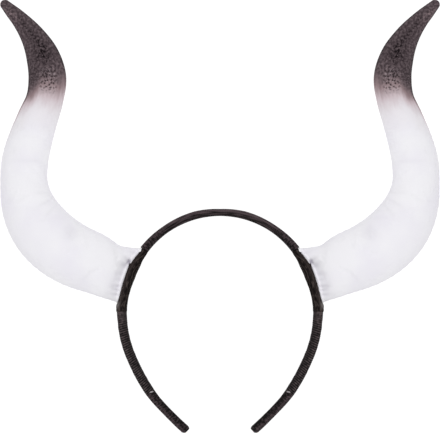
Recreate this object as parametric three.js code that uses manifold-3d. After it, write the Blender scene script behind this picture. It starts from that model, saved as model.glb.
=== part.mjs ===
// Bull horns headband: a slim ribbon-covered hoop that carries two stuffed fabric horns.
//
// Millimetres, +Z up. The headband lies on its back, as it does on a table: X runs across the
// wearer's head, Y from the hoop's open ends to the horn tips, and Z from the table to the front.
// The shape is worked out about the centre of the hoop's crown, then moved so that the origin is
// the middle of the underside.
import * as THREE from 'three';
import { mergeVertices } from 'three/addons/utils/BufferGeometryUtils.js';
import Module from 'manifold-3d';

const wasm = await Module();
wasm.setup();

// Driving dimensions
const CLEARANCE = 0.3; // gap that neighbouring pieces keep
const HOOP_DEPTH = 9.0; // front to back, where the ribbon shows
const COVERED_DEPTH = 8.0; // front to back, inside the felt and the wound cord
const FELT_WALL = 1.2; // felt sleeve that holds a horn on the hoop
const WRAP_WALL = 1.0; // cord wound round each arm of the hoop, at its turns' crests
const HOOP_ROUNDING = 1.7; // edges of the ribbon-covered hoop
const FELT_ROUNDING = 2.4;
const WRAP_ROUNDING = 2.2;
const MOST_ROUNDING = 0.48; // of a section's thickness or depth
const HOOP_HEIGHT = COVERED_DEPTH / 2 + CLEARANCE + FELT_WALL; // the felt lies on the table

// The inside of the hoop, from the top of the crown down one side: arcs that meet in line.
const HOOP_ARCS = [
  { radius: 60.2, turn: 90.0 }, // crown
  { radius: 69.5, turn: 26.0 }, // bend behind the ear
  { radius: 150.0, turn: 21.6 }, // nearly straight arm
];

// Hoop sections. along: distance from the top of the crown. inset: how far the inner face stands
// outside the arcs. thickness: across the hoop's wall. depth: front to back.
const HOOP_SECTIONS = [
  { along: 0.0, inset: 0.65, thickness: 4.1, depth: HOOP_DEPTH },
  { along: 7.0, inset: 0.57, thickness: 4.45, depth: HOOP_DEPTH },
  { along: 15.0, inset: 0.5, thickness: 4.75, depth: HOOP_DEPTH },
  { along: 36.0, inset: 0.12, thickness: 4.6, depth: HOOP_DEPTH },
  { along: 45.0, inset: -0.2, thickness: 4.95, depth: HOOP_DEPTH },
  { along: 53.3, inset: -0.55, thickness: 5.3, depth: HOOP_DEPTH },
  { along: 53.7, inset: 0.85, thickness: 1.9, depth: COVERED_DEPTH }, // under the felt
  { along: 60.0, inset: 0.36, thickness: 2.4, depth: COVERED_DEPTH },
  { along: 65.0, inset: -0.05, thickness: 3.2, depth: COVERED_DEPTH },
  { along: 73.0, inset: -0.28, thickness: 3.4, depth: COVERED_DEPTH },
  { along: 78.0, inset: -0.02, thickness: 3.15, depth: COVERED_DEPTH },
  { along: 84.0, inset: 0.5, thickness: 2.65, depth: COVERED_DEPTH },
  { along: 88.0, inset: 0.77, thickness: 2.75, depth: COVERED_DEPTH },
  { along: 95.1, inset: 0.92, thickness: 3.4, depth: COVERED_DEPTH }, // under the wound cord
  { along: 100.0, inset: 0.92, thickness: 3.15, depth: COVERED_DEPTH },
  { along: 110.0, inset: 1.1, thickness: 3.2, depth: COVERED_DEPTH },
  { along: 125.0, inset: 1.32, thickness: 3.25, depth: COVERED_DEPTH },
  { along: 137.0, inset: 1.75, thickness: 3.3, depth: COVERED_DEPTH },
  { along: 149.5, inset: 2.05, thickness: 3.2, depth: COVERED_DEPTH },
  { along: 149.9, inset: 0.8, thickness: 5.65, depth: HOOP_DEPTH },
  { along: 155.0, inset: 0.8, thickness: 5.3, depth: HOOP_DEPTH },
  { along: 164.0, inset: 0.24, thickness: 5.1, depth: HOOP_DEPTH },
  { along: 170.0, inset: -0.12, thickness: 5.15, depth: HOOP_DEPTH },
  { along: 183.0, inset: -0.6, thickness: 5.3, depth: HOOP_DEPTH },
];
const HOOP_STEP = 10.0;
const HOOP_END_ROUNDING = 2.6;
const HOOP_END_ANGLES = [30, 55, 78];
const HOOP_END_SHRINK = 0.62;

// Felt sleeve: where it starts and ends along the hoop, and how its lower end stands off.
const FELT_SECTIONS = [
  { along: 54.0, lift: 0.0 },
  { along: 87.0, lift: 0.0 },
  { along: 92.0, lift: 0.7 },
  { along: 95.0, lift: 0.25 },
];
const FELT_STEP = 4.0;

// Wound cord on each arm
const WRAP_START = 95.3;
const WRAP_END = 149.2;
const WRAP_PITCH = 1.65;
const WRAP_GROOVE = 0.35;

// Horn sections. out and up: the middle of the section, from the centre of the crown.
// half_width: in the plane of the hoop. half_depth: front to back. rise: middle above the table.
const HORN_SECTIONS = [
  { out: 56.4, up: 22.0, half_width: 19.2, half_depth: 6.6, rise: 6.0 },
  { out: 69.5, up: 25.0, half_width: 17.7, half_depth: 10.2, rise: 9.6 },
  { out: 82.2, up: 30.9, half_width: 19.55, half_depth: 14.2, rise: 13.4 },
  { out: 95.2, up: 36.5, half_width: 20.3, half_depth: 16.8, rise: 16.0 },
  { out: 106.9, up: 44.4, half_width: 20.3, half_depth: 17.6, rise: 16.8 },
  { out: 116.2, up: 54.9, half_width: 19.3, half_depth: 17.1, rise: 16.3 },
  { out: 122.6, up: 67.5, half_width: 17.35, half_depth: 15.8, rise: 15.1 },
  { out: 125.3, up: 81.2, half_width: 15.3, half_depth: 14.5, rise: 13.8 },
  { out: 124.8, up: 95.3, half_width: 14.95, half_depth: 13.8, rise: 13.2 },
  { out: 121.5, up: 108.9, half_width: 14.2, half_depth: 13.2, rise: 12.7 },
  { out: 117.0, up: 122.2, half_width: 13.15, half_depth: 12.4, rise: 12.0 },
  { out: 112.4, up: 135.6, half_width: 12.2, half_depth: 11.7, rise: 11.5 },
  { out: 110.5, up: 149.4, half_width: 12.0, half_depth: 11.2, rise: 11.3 },
  { out: 113.5, up: 163.0, half_width: 10.6, half_depth: 9.9, rise: 10.5 },
  { out: 119.8, up: 175.6, half_width: 7.85, half_depth: 7.6, rise: 9.3 },
  { out: 128.5, up: 186.8, half_width: 5.2, half_depth: 5.2, rise: 8.1 },
  { out: 134.0, up: 192.4, half_width: 4.0, half_depth: 4.0, rise: 7.5 },
  { out: 138.0, up: 196.5, half_width: 2.45, half_depth: 2.45, rise: 7.2 },
];
const HORN_STEP = 5.1;
const HORN_SIDES = 24;
const TIP_CAP_ANGLES = [28, 56, 82];
const SEAT_INWARD = 20.0; // the horn's foot is cut this far into the hoop
const SEAT_OVERRUN = 12.0; // and this far past both ends of the felt

// Gathers where the horn's cloth is pulled in at its base, on the front and the back alike.
// across: from the lower seam at -1 to the upper seam at 1. reach: how far it runs up the horn.
const GATHERS = [
  { across: 0.52, width: 0.17, reach: 13.0, depth: 2.0 },
  { across: 0.12, width: 0.2, reach: 9.0, depth: 1.0 },
  { across: -0.3, width: 0.16, reach: 7.0, depth: 0.8 },
  { across: -0.68, width: 0.14, reach: 10.0, depth: 1.3 },
];
const GATHER_SPREAD = 1.6; // a gather is this many times wider where it runs out
const GATHER_LIMIT = 0.4; // most of the half-depth that gathers take away

const blackRibbon = new THREE.MeshStandardMaterial({ color: 0x2f2a2b, roughness: 0.6, metalness: 0 });
const blackCord = new THREE.MeshStandardMaterial({ color: 0x332e30, roughness: 0.75, metalness: 0 });
const blackFelt = new THREE.MeshStandardMaterial({ color: 0x26221f, roughness: 0.95, metalness: 0 });
const whiteVelour = new THREE.MeshStandardMaterial({ color: 0xeeedf2, roughness: 0.9, metalness: 0 });

// Value of one column of a table of sections at a distance along it, straight between its rows.
function lookUp(table, column, along) {
  const next = table.findIndex((row) => row.along >= along);
  if (next === 0) return table[0][column];
  if (next < 0) return table[table.length - 1][column];
  const [a, b] = [table[next - 1], table[next]];
  return THREE.MathUtils.mapLinear(along, a.along, b.along, a[column], b[column]);
}

// Point of the hoop's inside and the direction out of the hoop there. along is negative on the left.
function hoopFrame(along) {
  const side = Math.sign(along) || 1;
  const point = new THREE.Vector2(0, HOOP_ARCS[0].radius);
  const outward = new THREE.Vector2(0, 1);
  let heading = 0;
  let rest = Math.abs(along);
  HOOP_ARCS.forEach(({ radius, turn }, i) => {
    const isLast = i === HOOP_ARCS.length - 1;
    const angle = isLast ? rest / radius : Math.min(rest / radius, THREE.MathUtils.degToRad(turn));
    point.addScaledVector(outward, -radius);
    heading += angle;
    outward.set(Math.sin(heading), Math.cos(heading));
    point.addScaledVector(outward, radius);
    rest = Math.max(rest - radius * angle, 0);
  });
  point.x *= side;
  outward.x *= side;
  return { point, outward };
}

const hoopLength = HOOP_ARCS.reduce(
  (sum, { radius, turn }) => sum + radius * THREE.MathUtils.degToRad(turn),
  0,
);
const feltStart = FELT_SECTIONS[0].along;
const feltEnd = FELT_SECTIONS[FELT_SECTIONS.length - 1].along;
const feltLift = (along) => lookUp(FELT_SECTIONS, 'lift', along);

// Rounded rectangle as points [from inner to outer face, front to back], 3 points to a corner.
function roundedSection(inner, outer, depth, rounding) {
  const points = [];
  const corners = [[1, 1], [0, 1], [0, 0], [1, 0]];
  const round = Math.min(rounding, MOST_ROUNDING * (outer - inner), MOST_ROUNDING * depth);
  corners.forEach(([isOuter, isFront], quarter) => {
    const centreAcross = isOuter ? outer - round : inner + round;
    const centreDeep = isFront ? depth / 2 - round : round - depth / 2;
    for (const part of [0, 0.5, 1]) {
      const angle = (quarter + part) * (Math.PI / 2);
      points.push([centreAcross + round * Math.cos(angle), centreDeep + round * Math.sin(angle)]);
    }
  });
  return points;
}

// Ring of points round the hoop's wall at a distance along it.
function hoopRing(along, { inner, outer, depth }, rounding) {
  const { point, outward } = hoopFrame(along);
  return roundedSection(inner, outer, depth, rounding).map(
    ([across, deep]) =>
      new THREE.Vector3(
        point.x + outward.x * across,
        point.y + outward.y * across,
        HOOP_HEIGHT + deep,
      ),
  );
}

// Closed solid through a row of rings with the same number of points, with its ends filled.
function loft(rings) {
  const sides = rings[0].length;
  const points = rings.flat();
  const faces = [];
  for (let ring = 0; ring + 1 < rings.length; ring += 1) {
    for (let i = 0; i < sides; i += 1) {
      const j = (i + 1) % sides;
      const [a, b] = [ring * sides + i, ring * sides + j];
      faces.push(a, b, b + sides, a, b + sides, a + sides);
    }
  }
  for (const [ring, isFirst] of [[0, true], [rings.length - 1, false]]) {
    const middle = rings[ring].reduce((sum, p) => sum.add(p), new THREE.Vector3()).divideScalar(sides);
    const hub = points.push(middle) - 1;
    for (let i = 0; i < sides; i += 1) {
      const [a, b] = [ring * sides + i, ring * sides + ((i + 1) % sides)];
      faces.push(...(isFirst ? [hub, b, a] : [hub, a, b]));
    }
  }
  return new THREE.BufferGeometry().setFromPoints(points).setIndex(faces);
}

// Geometry as a solid that can be cut, turned the right way out.
function solidOf(geometry) {
  const merged = mergeVertices(geometry, 1e-4);
  const vertProperties = merged.attributes.position.array;
  const triVerts = new Uint32Array(merged.index.array);
  const made = () => new wasm.Manifold(new wasm.Mesh({ numProp: 3, vertProperties, triVerts }));
  const solid = made();
  if (solid.volume() > 0) return solid;
  for (let i = 0; i < triVerts.length; i += 3) {
    [triVerts[i + 1], triVerts[i + 2]] = [triVerts[i + 2], triVerts[i + 1]];
  }
  return made();
}

function geometryOf(solid) {
  const { vertProperties, triVerts } = solid.getMesh();
  return new THREE.BufferGeometry()
    .setAttribute('position', new THREE.BufferAttribute(new Float32Array(vertProperties), 3))
    .setIndex(new THREE.BufferAttribute(new Uint32Array(triVerts), 1));
}

// Distances from one end to the other in steps of about the length given.
function steps(start, end, length) {
  const count = Math.max(1, Math.round((end - start) / length));
  return Array.from({ length: count + 1 }, (_, i) => start + ((end - start) * i) / count);
}

// Wall of the hoop at a distance along it, grown all round by a margin, and more on its outer face.
function hoopWall(along, margin, lift = 0) {
  const row = (column) => lookUp(HOOP_SECTIONS, column, Math.abs(along));
  return {
    inner: row('inset') - margin,
    outer: row('inset') + row('thickness') + margin + lift,
    depth: row('depth') + 2 * margin,
  };
}

// Hoop: one ribbon-covered strip with blunt rounded ends.
function makeHoop() {
  const last = hoopLength - HOOP_END_ROUNDING;
  const rows = HOOP_SECTIONS.map(({ along }) => along).filter((along) => along > 0 && along < last);
  const isClear = (along) => rows.every((row) => Math.abs(row - along) > HOOP_STEP / 6);
  const between = steps(0, last, HOOP_STEP).filter(isClear);
  const oneSide = [...between, ...rows].sort((a, b) => a - b).map((along) => ({ along, shrink: 1 }));
  for (const angle of HOOP_END_ANGLES.map(THREE.MathUtils.degToRad)) {
    const shrink = 1 - HOOP_END_SHRINK * (1 - Math.cos(angle));
    oneSide.push({ along: last + HOOP_END_ROUNDING * Math.sin(angle), shrink });
  }
  const mirrored = oneSide.slice(1).reverse().map(({ along, shrink }) => ({ along: -along, shrink }));
  const rings = [...mirrored, ...oneSide].map(({ along, shrink }) => {
    const { inner, outer, depth } = hoopWall(along, 0);
    const cut = ((outer - inner) * (1 - shrink)) / 2;
    return hoopRing(along, { inner: inner + cut, outer: outer - cut, depth: depth * shrink }, HOOP_ROUNDING);
  });
  return geometryOf(solidOf(loft(rings)));
}

// Bore of a sleeve for the hoop, running out of both its ends.
function makeBore(start, end, liftAt) {
  const stops = steps(start, end, FELT_STEP);
  const rings = [start - 1, ...stops, end + 1].map((along) => {
    const inSleeve = THREE.MathUtils.clamp(along, start, end);
    return hoopRing(along, hoopWall(inSleeve, CLEARANCE, liftAt(inSleeve)), HOOP_ROUNDING);
  });
  return solidOf(loft(rings));
}

// Felt sleeve of the right side, open at both ends for the hoop.
function makeFeltSleeve() {
  const rings = steps(feltStart, feltEnd, FELT_STEP).map((along) =>
    hoopRing(along, hoopWall(along, CLEARANCE + FELT_WALL, feltLift(along)), FELT_ROUNDING),
  );
  return geometryOf(solidOf(loft(rings)).subtract(makeBore(feltStart, feltEnd, feltLift)));
}

// Cord wound round the right arm in close turns: a sleeve whose outside is ridged.
function makeArmWrap() {
  const turns = Math.round((WRAP_END - WRAP_START) / WRAP_PITCH);
  const stops = steps(WRAP_START, WRAP_END, (WRAP_END - WRAP_START) / (2 * turns));
  const rings = stops.map((along, i) => {
    const isGroove = i % 2 === 0;
    const wall = WRAP_WALL - (isGroove ? WRAP_GROOVE : 0);
    return hoopRing(along, hoopWall(along, CLEARANCE + wall), WRAP_ROUNDING);
  });
  return geometryOf(solidOf(loft(rings)).subtract(makeBore(WRAP_START, WRAP_END, () => 0)));
}

// How deep the gathers press into the front and back at a place on the horn.
function gatherDepth(fromBase, across) {
  return GATHERS.reduce((sum, gather) => {
    const run = Math.min(fromBase / gather.reach, 1);
    const width = gather.width * THREE.MathUtils.lerp(1, GATHER_SPREAD, run);
    const profile = Math.exp(-(((across - gather.across) / width) ** 2));
    return sum + gather.depth * profile * (1 - THREE.MathUtils.smoothstep(run, 0, 1));
  }, 0);
}

// Ring of one horn section. lengthways: the direction of the horn in the plane of the hoop.
function hornRing(middle, lengthways, halfWidth, halfDepth, fromBase) {
  const across = new THREE.Vector2(-lengthways.y, lengthways.x);
  return Array.from({ length: HORN_SIDES }, (_, i) => {
    const angle = (2 * Math.PI * i) / HORN_SIDES;
    const share = Math.cos(angle);
    const pulledIn = Math.min(gatherDepth(fromBase, share), GATHER_LIMIT * halfDepth);
    const deep = Math.sin(angle) * (halfDepth - pulledIn);
    const height = Math.max(middle.z + deep, 0); // soft stuffing lies flat on the table
    return new THREE.Vector3(
      middle.x + across.x * halfWidth * share,
      middle.y + across.y * halfWidth * share,
      height,
    );
  });
}

// Right horn: a stuffed form through the sections, with a round tip and its base cut to the felt.
function makeHorn() {
  const middles = new THREE.CatmullRomCurve3(
    HORN_SECTIONS.map(({ out, up, rise }) => new THREE.Vector3(out, up, rise)),
  );
  const halves = new THREE.CatmullRomCurve3(
    HORN_SECTIONS.map(({ half_width, half_depth }) => new THREE.Vector3(half_width, half_depth, 0)),
  );
  const length = middles.getLength();
  const rings = steps(0, length, HORN_STEP).map((fromBase) => {
    const t = middles.getUtoTmapping(fromBase / length);
    const middle = middles.getPoint(t);
    const tangent = middles.getTangent(t);
    const lengthways = new THREE.Vector2(tangent.x, tangent.y).normalize();
    const { x: halfWidth, y: halfDepth } = halves.getPoint(t);
    return hornRing(middle, lengthways, halfWidth, halfDepth, fromBase);
  });
  const tip = HORN_SECTIONS[HORN_SECTIONS.length - 1];
  const tangent = middles.getTangent(1);
  const lengthways = new THREE.Vector2(tangent.x, tangent.y).normalize();
  const forward = new THREE.Vector3(lengthways.x, lengthways.y, 0);
  for (const angle of TIP_CAP_ANGLES.map(THREE.MathUtils.degToRad)) {
    const middle = middles.getPoint(1).addScaledVector(forward, tip.half_width * Math.sin(angle));
    const shrink = Math.cos(angle);
    rings.push(hornRing(middle, lengthways, tip.half_width * shrink, tip.half_depth * shrink, length));
  }
  return geometryOf(solidOf(loft(rings)).subtract(makeHornSeat()));
}

// Space that the felt and the hoop take up at the foot of a horn, deeper than the horn.
function makeHornSeat() {
  const rings = steps(feltStart - SEAT_OVERRUN, feltEnd + SEAT_OVERRUN, FELT_STEP / 2).map((along) => {
    const inFelt = THREE.MathUtils.clamp(along, feltStart, feltEnd);
    const felt = hoopWall(inFelt, FELT_WALL + 2 * CLEARANCE, feltLift(inFelt));
    const outer = Math.max(felt.outer, hoopWall(along, CLEARANCE).outer);
    return hoopRing(along, { inner: -SEAT_INWARD, outer, depth: 4 * HOOP_HEIGHT }, CLEARANCE);
  });
  return solidOf(loft(rings));
}

const headband = new THREE.Group();

function addPiece(name, geometry, material) {
  const piece = new THREE.Mesh(geometry, material);
  piece.name = name;
  headband.add(piece);
  return piece;
}

// The same piece on the right and, mirrored, on the left.
function addPair(name, geometry, material) {
  addPiece(`${name}_right`, geometry, material);
  addPiece(`${name}_left`, geometry, material).scale.x = -1;
}

addPiece('hoop', makeHoop(), blackRibbon);
addPair('arm_wrap', makeArmWrap(), blackCord);
addPair('felt_sleeve', makeFeltSleeve(), blackFelt);
addPair('horn', makeHorn(), whiteVelour);

// The origin goes to the middle of the underside.
const extent = new THREE.Box3().setFromObject(headband, true);
const centre = extent.getCenter(new THREE.Vector3());
headband.children.forEach((piece) => piece.position.set(0, -centre.y, -extent.min.z));

export default headband;
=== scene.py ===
"""Dresses the bull horns headband: ribbon-covered hoop, wound arms, felt sleeves and stuffed horns.

Sizes are in millimetres in the headband's own frame and turn to metres when a mesh is made.
"""
import logging
import math
from dataclasses import astuple, dataclass, field
from enum import Enum
from functools import cached_property

import bpy
import numpy as np
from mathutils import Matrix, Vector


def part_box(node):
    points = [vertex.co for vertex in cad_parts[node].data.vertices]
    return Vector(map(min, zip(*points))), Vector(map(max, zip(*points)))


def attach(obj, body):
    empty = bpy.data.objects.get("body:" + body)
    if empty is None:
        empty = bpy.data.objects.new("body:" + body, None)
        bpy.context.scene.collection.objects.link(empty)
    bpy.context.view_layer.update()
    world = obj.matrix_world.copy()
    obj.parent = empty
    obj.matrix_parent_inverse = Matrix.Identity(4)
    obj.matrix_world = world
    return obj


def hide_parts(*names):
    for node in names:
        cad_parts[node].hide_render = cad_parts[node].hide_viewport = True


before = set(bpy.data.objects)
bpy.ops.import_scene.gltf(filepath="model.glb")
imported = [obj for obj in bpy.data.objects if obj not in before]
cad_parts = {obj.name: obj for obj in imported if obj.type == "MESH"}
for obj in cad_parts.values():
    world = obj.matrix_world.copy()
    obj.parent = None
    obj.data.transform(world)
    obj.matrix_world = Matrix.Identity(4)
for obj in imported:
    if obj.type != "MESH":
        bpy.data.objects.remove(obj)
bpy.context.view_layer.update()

MM = 0.001
BODY = "root"
END_TURN = math.radians(84)  # how far a round end turns in before it is filled
MIX_A, MIX_B, MIXED = 6, 7, 2  # sockets of a Mix node that blends two colours
WAVE_BANDS = 3.18  # bands to a unit of length that a wave texture has at a scale of 1
NUDGE = 0.5  # half the stretch over which slopes are measured
WHITE = "#FFFFFF"
# layers of the velour, and what they hold where nothing is printed; crease and edge carry painted shade
UNPRINTED = {"fade_mm": 99.0, "deep": 0.0, "spots": 0.0, "hairs": 0.0, "edge": 0.0, "crease": 0.0}
LOG = logging.getLogger("headband")
Grid = np.ndarray
Layers = dict[str, Grid]
Pair = tuple[float, float]
Colour = tuple[float, float, float, float]
Piece = bpy.types.Object
Material = bpy.types.Material
Tree = bpy.types.NodeTree
Socket = bpy.types.NodeSocket


class Side(Enum):
    """Side of the headband, seen from its front, with the sign of its X."""

    RIGHT = 1
    LEFT = -1

    @property
    def tag(self) -> str:
        """Ending of the names of this side's pieces."""
        return self.name.lower()


class Ends(Enum):
    """How the first and last ring of a mesh are closed."""

    FILLED = "filled"
    JOINED = "joined"


class Ramp(Enum):
    """How values change between the two levels of a pattern."""

    STRAIGHT = "LINEAR"
    SOFT = "SMOOTHSTEP"


def linear(code: str) -> Colour:
    """Turns an sRGB hex colour into linear RGBA.

    Args:
        code: Colour such as "#EEEDF2".

    Returns:
        Linear red, green, blue and an alpha of 1.
    """
    parts = [int(code[i : i + 2], 16) / 255 for i in (1, 3, 5)]
    red, green, blue = (c / 12.92 if c <= 0.04045 else ((c + 0.055) / 1.055) ** 2.4 for c in parts)
    return red, green, blue, 1.0


def add(
    tree: Tree, kind: str, inputs: dict | None = None, out: int | str = 0, **settings: object
) -> Socket | None:
    """Adds a shader node with its settings, and values or links on its inputs.

    Args:
        tree: Node tree of a material or world.
        kind: Type of the node, without the ShaderNode that all types start with.
        inputs: Value or output socket for each input, by its name or place.
        out: Output that is wanted, by its name or place.
        settings: Properties of the node.

    Returns:
        That output, if the node has any.
    """
    node = tree.nodes.new("ShaderNode" + kind)
    for name, value in settings.items():
        setattr(node, name, value)
    for key, value in (inputs or {}).items():
        if isinstance(value, Socket):
            tree.links.new(value, node.inputs[key])
        else:
            node.inputs[key].default_value = value
    return node.outputs[out] if node.outputs else None


def smooth(value: Grid, low: float, high: float) -> Grid:
    """Soft step of an array from 0 at low to 1 at high."""
    t = np.clip((value - low) / (high - low), 0.0, 1.0)
    return t * t * (3.0 - 2.0 * t)


def bell(value: Grid, width: float) -> Grid:
    """Bell curve of an array, 1 at zero."""
    return np.exp(-((value / width) ** 2))


def joined(t: Grid, start: Grid, leave: Grid, end: Grid, arrive: Grid) -> Grid:
    """Smooth curve between two values, with the slopes at which it leaves and arrives."""
    keep = 2 * t**3 - 3 * t**2 + 1
    return keep * start + (t**3 - 2 * t**2 + t) * leave + (1 - keep) * end + (t**3 - t**2) * arrive


def through(knots: Grid, values: Grid, at: Grid) -> Grid:
    """Smooth curve through values at knots.

    Args:
        knots: Rising positions, n of them.
        values: n rows of values.
        at: Positions where the curve is wanted.

    Returns:
        A row of values for each position.
    """
    slopes = np.gradient(values, knots, axis=0)
    i = np.clip(np.searchsorted(knots, at) - 1, 0, len(knots) - 2)
    span = (knots[i + 1] - knots[i])[:, None]
    t = ((at - knots[i]) / span[:, 0])[:, None]
    return joined(t, values[i], span * slopes[i], values[i + 1], span * slopes[i + 1])


def distances(points: Grid) -> Grid:
    """Distance of each point of a line from the first, along the line."""
    return np.concatenate([[0], np.cumsum(np.linalg.norm(np.diff(points, axis=0), axis=1))])


@dataclass(frozen=True)
class Ripple:
    """Smooth unevenness: the height and length of its waves in millimetres, and their seed."""

    height: float
    length: float
    seed: int
    waves: int = 7
    spread: Pair = (0.7, 1.4)

    def at(self, place: Grid) -> Grid:
        """Adds up waves in fixed random directions.

        Args:
            place: Points with x, y, z last.

        Returns:
            A height for each point.
        """
        draw = np.random.default_rng(self.seed)
        total = np.zeros(place.shape[:-1])
        for _ in range(self.waves):
            way = draw.normal(size=3)
            way *= draw.uniform(*self.spread) * 2 * math.pi / (self.length * np.linalg.norm(way))
            total += np.sin(place @ way + draw.uniform(0, 2 * math.pi))
        return self.height * total / math.sqrt(self.waves)


def soften(values: Grid, turns: int) -> Grid:
    """Smooths a grid of values that closes on itself across.

    Args:
        values: Values by ring and place on the ring.
        turns: Number of times that neighbours are averaged.

    Returns:
        The smoothed grid.
    """
    for _ in range(turns):
        values = (np.roll(values, 1, 1) + 2 * values + np.roll(values, -1, 1)) / 4
        longer = np.concatenate([values[:1], values, values[-1:]])
        values = (longer[:-2] + 2 * values + longer[2:]) / 4
    return values


def make_mesh(name: str, rings: Grid, ends: Ends, side: Side, layers: Layers) -> Piece:
    """Makes a closed mesh through rings of points.

    Args:
        name: Name of the piece.
        rings: Points of the right side in millimetres: ring, place on the ring, x y z.
        ends: How the first and last ring are closed.
        side: Side that the piece is made for.
        layers: Values or vectors for each point, kept with the mesh.

    Returns:
        The new object.
    """
    rows, count = rings.shape[:2]
    points = rings.reshape(-1, 3) * (side.value, 1.0, 1.0)
    kept = {key: value.reshape(rows * count, -1) for key, value in layers.items()}
    row = np.arange(rows if ends is Ends.JOINED else rows - 1)[:, None] * count
    here, there = np.arange(count), (np.arange(count) + 1) % count
    ahead = (row + count) % (rows * count)
    quads = np.stack([row + here, row + there, ahead + there, ahead + here], -1).reshape(-1, 4)
    faces = quads.tolist()
    if ends is Ends.FILLED:
        last = (rows - 1) * count
        for start, first, second in ((0, there, here), (last, last + here, last + there)):
            ring = slice(start, start + count)
            hub = np.full(count, len(points))
            points = np.vstack([points, points[ring].mean(0)])
            kept = {key: np.vstack([value, value[ring].mean(0)]) for key, value in kept.items()}
            faces += np.stack([hub, first, second], -1).tolist()
    a, b, c, d = np.moveaxis(points[quads], 1, 0)
    volume = (a * (np.cross(b, c) + np.cross(c, d))).sum()
    if volume < 0:
        faces = [face[::-1] for face in faces]
    mesh = bpy.data.meshes.new(name)
    mesh.from_pydata((points * MM).tolist(), [], faces)
    mesh.polygons.foreach_set("use_smooth", np.ones(len(faces), bool))
    for key, value in kept.items():
        kind, slot = ("FLOAT", "value") if value.shape[1] == 1 else ("FLOAT_VECTOR", "vector")
        mesh.attributes.new(key, kind, "POINT").data.foreach_set(slot, value.astype(np.float32).ravel())
    mesh.update()
    piece = bpy.data.objects.new(name, mesh)
    bpy.context.scene.collection.objects.link(piece)
    return piece


def fit_out(piece: Piece, material: Material, node: str | None = None) -> None:
    """Gives a piece its material and body, and hides the solid that it stands for.

    Args:
        piece: Piece to dress.
        material: Its material.
        node: Solid that it replaces.
    """
    piece.data.materials.append(material)
    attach(piece, BODY)
    if node:
        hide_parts(node)
    LOG.info("%s: %d faces", piece.name, len(piece.data.polygons))


@dataclass(frozen=True)
class Levels:
    """How a pattern is cut: its values from low to high turn into those from at_low to at_high."""

    low: float
    high: float
    at_low: float = 0.0
    at_high: float = 1.0
    ramp: Ramp = Ramp.STRAIGHT

    @property
    def inputs(self) -> dict[int, float]:
        """Inputs of a node that maps one range to another."""
        return {1: self.low, 2: self.high, 3: self.at_low, 4: self.at_high}


@dataclass(frozen=True)
class Grain:
    """Uneven pattern on cloth that is laid out flat: its size in millimetres round, along and through the
    cloth, how fine it is, its turn in radians, its twist, and how it is cut."""

    size: tuple[float, float, float]
    detail: float = 2.0
    turn: float = 0.0
    twist: float = 0.0
    fineness: float = 0.5
    cut: Levels | None = None

    def share(self, tree: Tree, place: Socket) -> Socket:
        """Adds the pattern to a material.

        Args:
            tree: Node tree of the material.
            place: Places on the flat cloth.

        Returns:
            Values of the pattern.
        """
        lie = {"Vector": place, "Rotation": (0.0, 0.0, self.turn), "Scale": self.size}
        laid = add(tree, "Mapping", lie, vector_type="TEXTURE")
        fine = {"Detail": self.detail, "Roughness": self.fineness, "Distortion": self.twist}
        noise = add(tree, "TexNoise", {"Vector": laid, "Scale": 1.0, **fine})
        cut = self.cut
        if cut is None:
            return noise
        return add(tree, "MapRange", {0: noise, **cut.inputs}, interpolation_type=cut.ramp.value)


@dataclass(frozen=True)
class Finish:
    """Surface of a real material, named for what it is and how it was made. Each has its own pattern."""

    name: str
    roughness: float
    specular: float
    relief: float = 0.0  # strength of its fine relief, and its height
    relief_mm: float = 0.0
    glow: float = 0.0

    def pattern(self, tree: Tree) -> tuple[Socket | Colour, Socket | None]:
        """Colour of the surface, and the height of its fine relief."""
        raise NotImplementedError

    def material(self) -> Material:
        """Builds the material.

        Returns:
            The new material.
        """
        material = bpy.data.materials.new(self.name)
        material.use_nodes = True
        tree = material.node_tree
        tree.nodes.clear()
        colour, height = self.pattern(tree)
        inputs = {"Base Color": colour, "Roughness": self.roughness, "Specular IOR Level": self.specular}
        inputs |= {"Emission Color": linear(WHITE), "Emission Strength": self.glow}
        if height is not None:
            relief = {"Strength": self.relief, "Distance": self.relief_mm * MM, "Height": height}
            inputs["Normal"] = add(tree, "Bump", relief)
        add(tree, "OutputMaterial", {"Surface": add(tree, "BsdfPrincipled", inputs)})
        return material


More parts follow.
